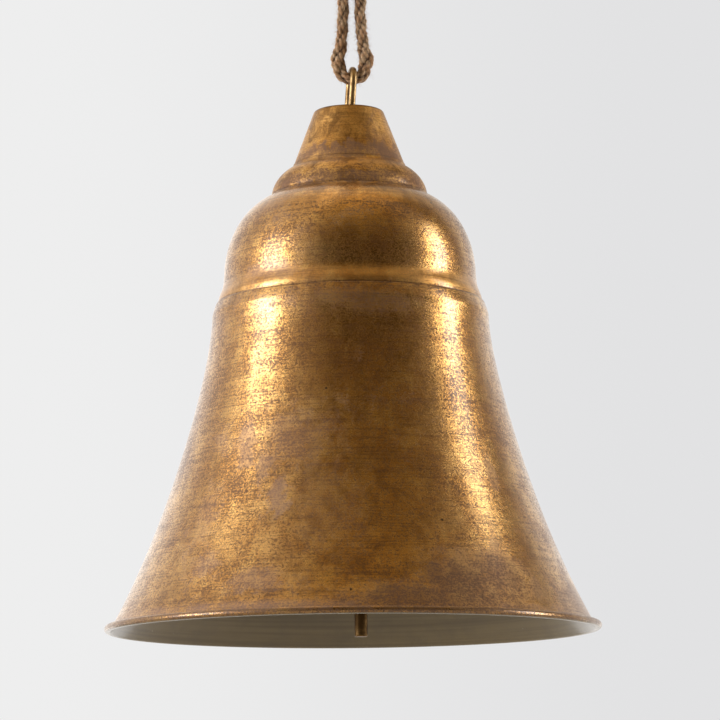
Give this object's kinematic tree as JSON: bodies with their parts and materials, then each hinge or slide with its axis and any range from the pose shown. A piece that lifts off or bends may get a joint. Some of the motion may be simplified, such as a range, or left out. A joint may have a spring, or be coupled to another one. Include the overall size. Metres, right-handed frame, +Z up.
{
  "type": "hanging bell",
  "caption": "Flared spun-metal hanging bell with a stepped crown, a wire loop, a rod clapper on a link, and a doubled rope on a screw hook.",
  "frame": {"origin": "on the screw hook's axis, in the plane of the ceiling that it is screwed into", "axes": "+Z up along the hook's screw, +X along the rope's plane, +Y away from the viewer"},
  "size_m": [0.3, 0.3, 0.4769],
  "materials": {
    "antique_brass": "antique brass finish, mottled and brushed",
    "loop_brass": "polished and lightly aged",
    "clapper_brass": "dark, aged",
    "hook_brass": "satin, lightly aged",
    "zinc_steel": "dull zinc plate",
    "jute": "rough three-strand jute"
  },
  "bodies": {
    "hook": {"ceiling_hook": "hook_brass"},
    "rope": {"rope": "jute", "rope_knot": "jute"},
    "bell": {"hanger_loop": "loop_brass", "crown_cap": "antique_brass", "collar": "antique_brass", "shoulder": "antique_brass", "skirt": "antique_brass", "rim_wire": "zinc_steel", "clapper_plate": "zinc_steel", "loop_washers": "zinc_steel", "loop_nuts": "zinc_steel", "eye_bolt": "zinc_steel", "eye_nut": "zinc_steel"},
    "link": {"clapper_link": "zinc_steel"},
    "clapper": {"clapper_eye": "zinc_steel", "clapper_rod": "clapper_brass"}
  },
  "joints": [
    {"name": "rope_sway", "type": "hinge", "parent": "hook", "child": "rope", "pos_m": [0, 0, -0.044], "axis": [0, 1, 0], "range_deg": [-20, 20]},
    {"name": "bell_swing", "type": "hinge", "parent": "rope", "child": "bell", "pos_m": [0, 0, -0.1071], "axis": [1, 0, 0], "range_deg": [-40, 40]},
    {"name": "link_swing", "type": "hinge", "parent": "bell", "child": "link", "pos_m": [0.0023, 0, -0.1499], "axis": [1, 0, 0], "range_deg": [-20, 20]},
    {"name": "clapper_swing", "type": "hinge", "parent": "link", "child": "clapper", "pos_m": [0.0023, 0, -0.1681], "axis": [0, 1, 0], "range_deg": [-15, 15]}
  ]
}
